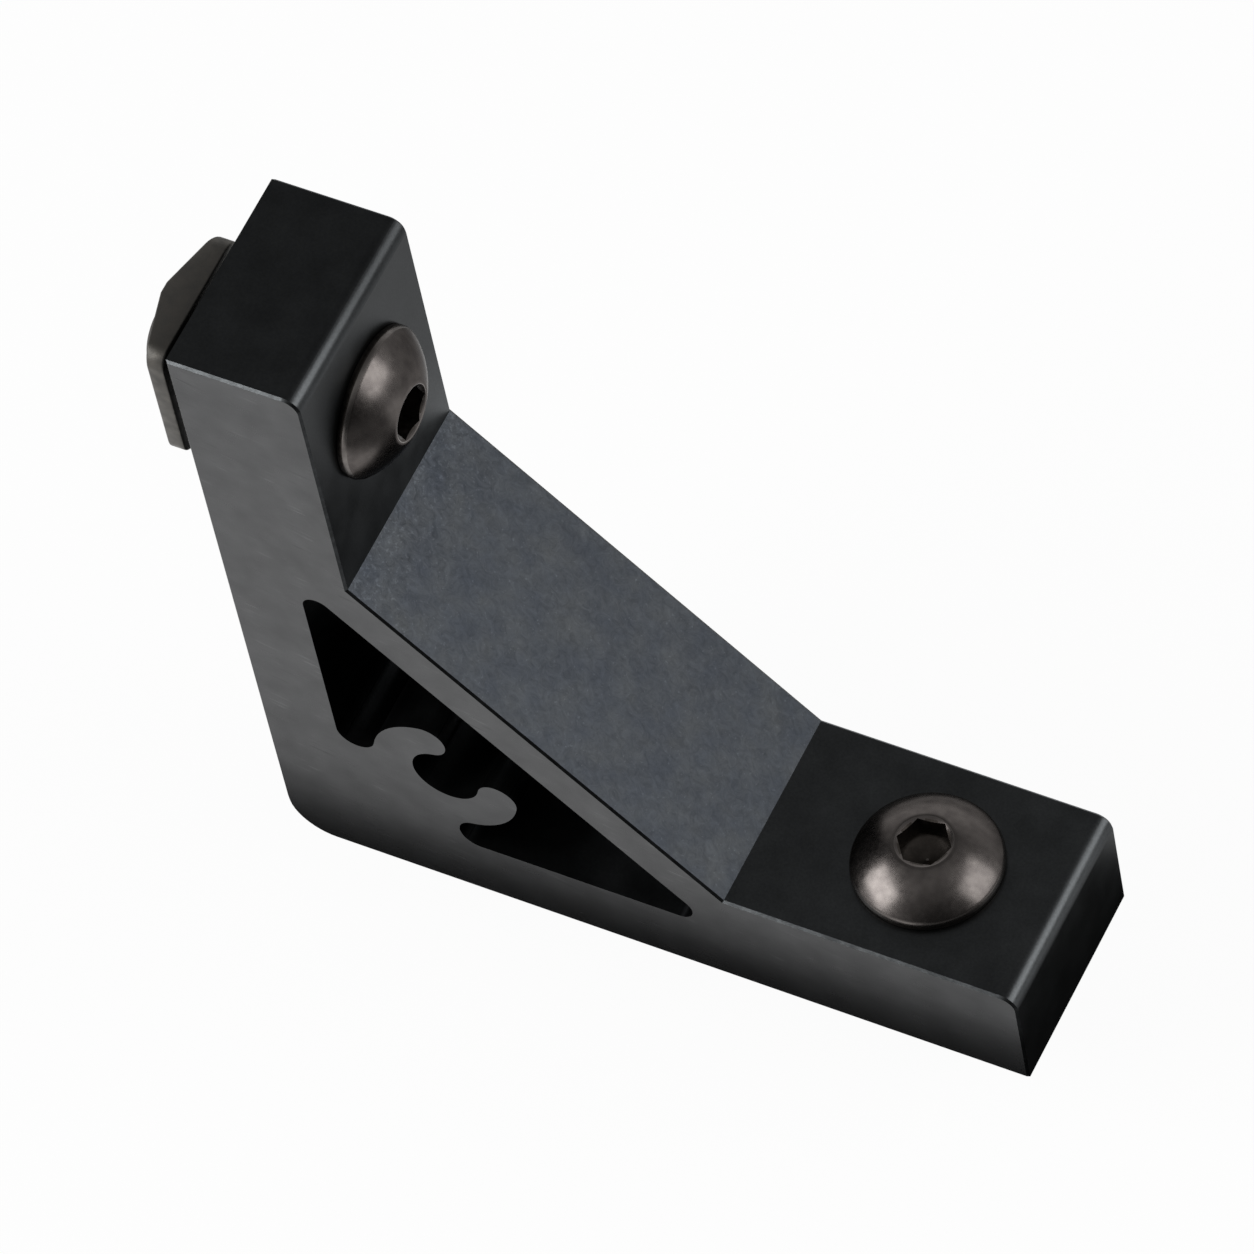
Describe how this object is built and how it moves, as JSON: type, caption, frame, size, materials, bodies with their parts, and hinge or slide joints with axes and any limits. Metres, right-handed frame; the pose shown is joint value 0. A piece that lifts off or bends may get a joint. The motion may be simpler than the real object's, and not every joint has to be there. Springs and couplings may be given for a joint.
{
  "type": "two way corner connector",
  "caption": "Right-angle inside corner bracket with an inclined web, for slotted aluminium rail, with button head screws and slot nuts.",
  "frame": {"origin": "where the base leg's screw axis crosses the face that bears on the base rail, half way across the width", "axes": "+X along the base leg, from the heel to its end; +Z along the upright leg, away from the base rail; Y across the width"},
  "size_m": [0.0553, 0.014, 0.0553],
  "materials": {
    "black_anodised_aluminium": "black anodised, satin, with sawn end faces a shade greyer",
    "dark_bronze_screw_steel": "polished dark bronze grey",
    "plated_nut_steel": "dull nickel plate"
  },
  "bodies": {
    "root": {"corner_bracket": "black_anodised_aluminium", "base_leg_screw": "dark_bronze_screw_steel", "upright_leg_screw": "dark_bronze_screw_steel", "base_leg_slot_nut": "plated_nut_steel", "upright_leg_slot_nut": "plated_nut_steel"}
  },
  "joints": []
}
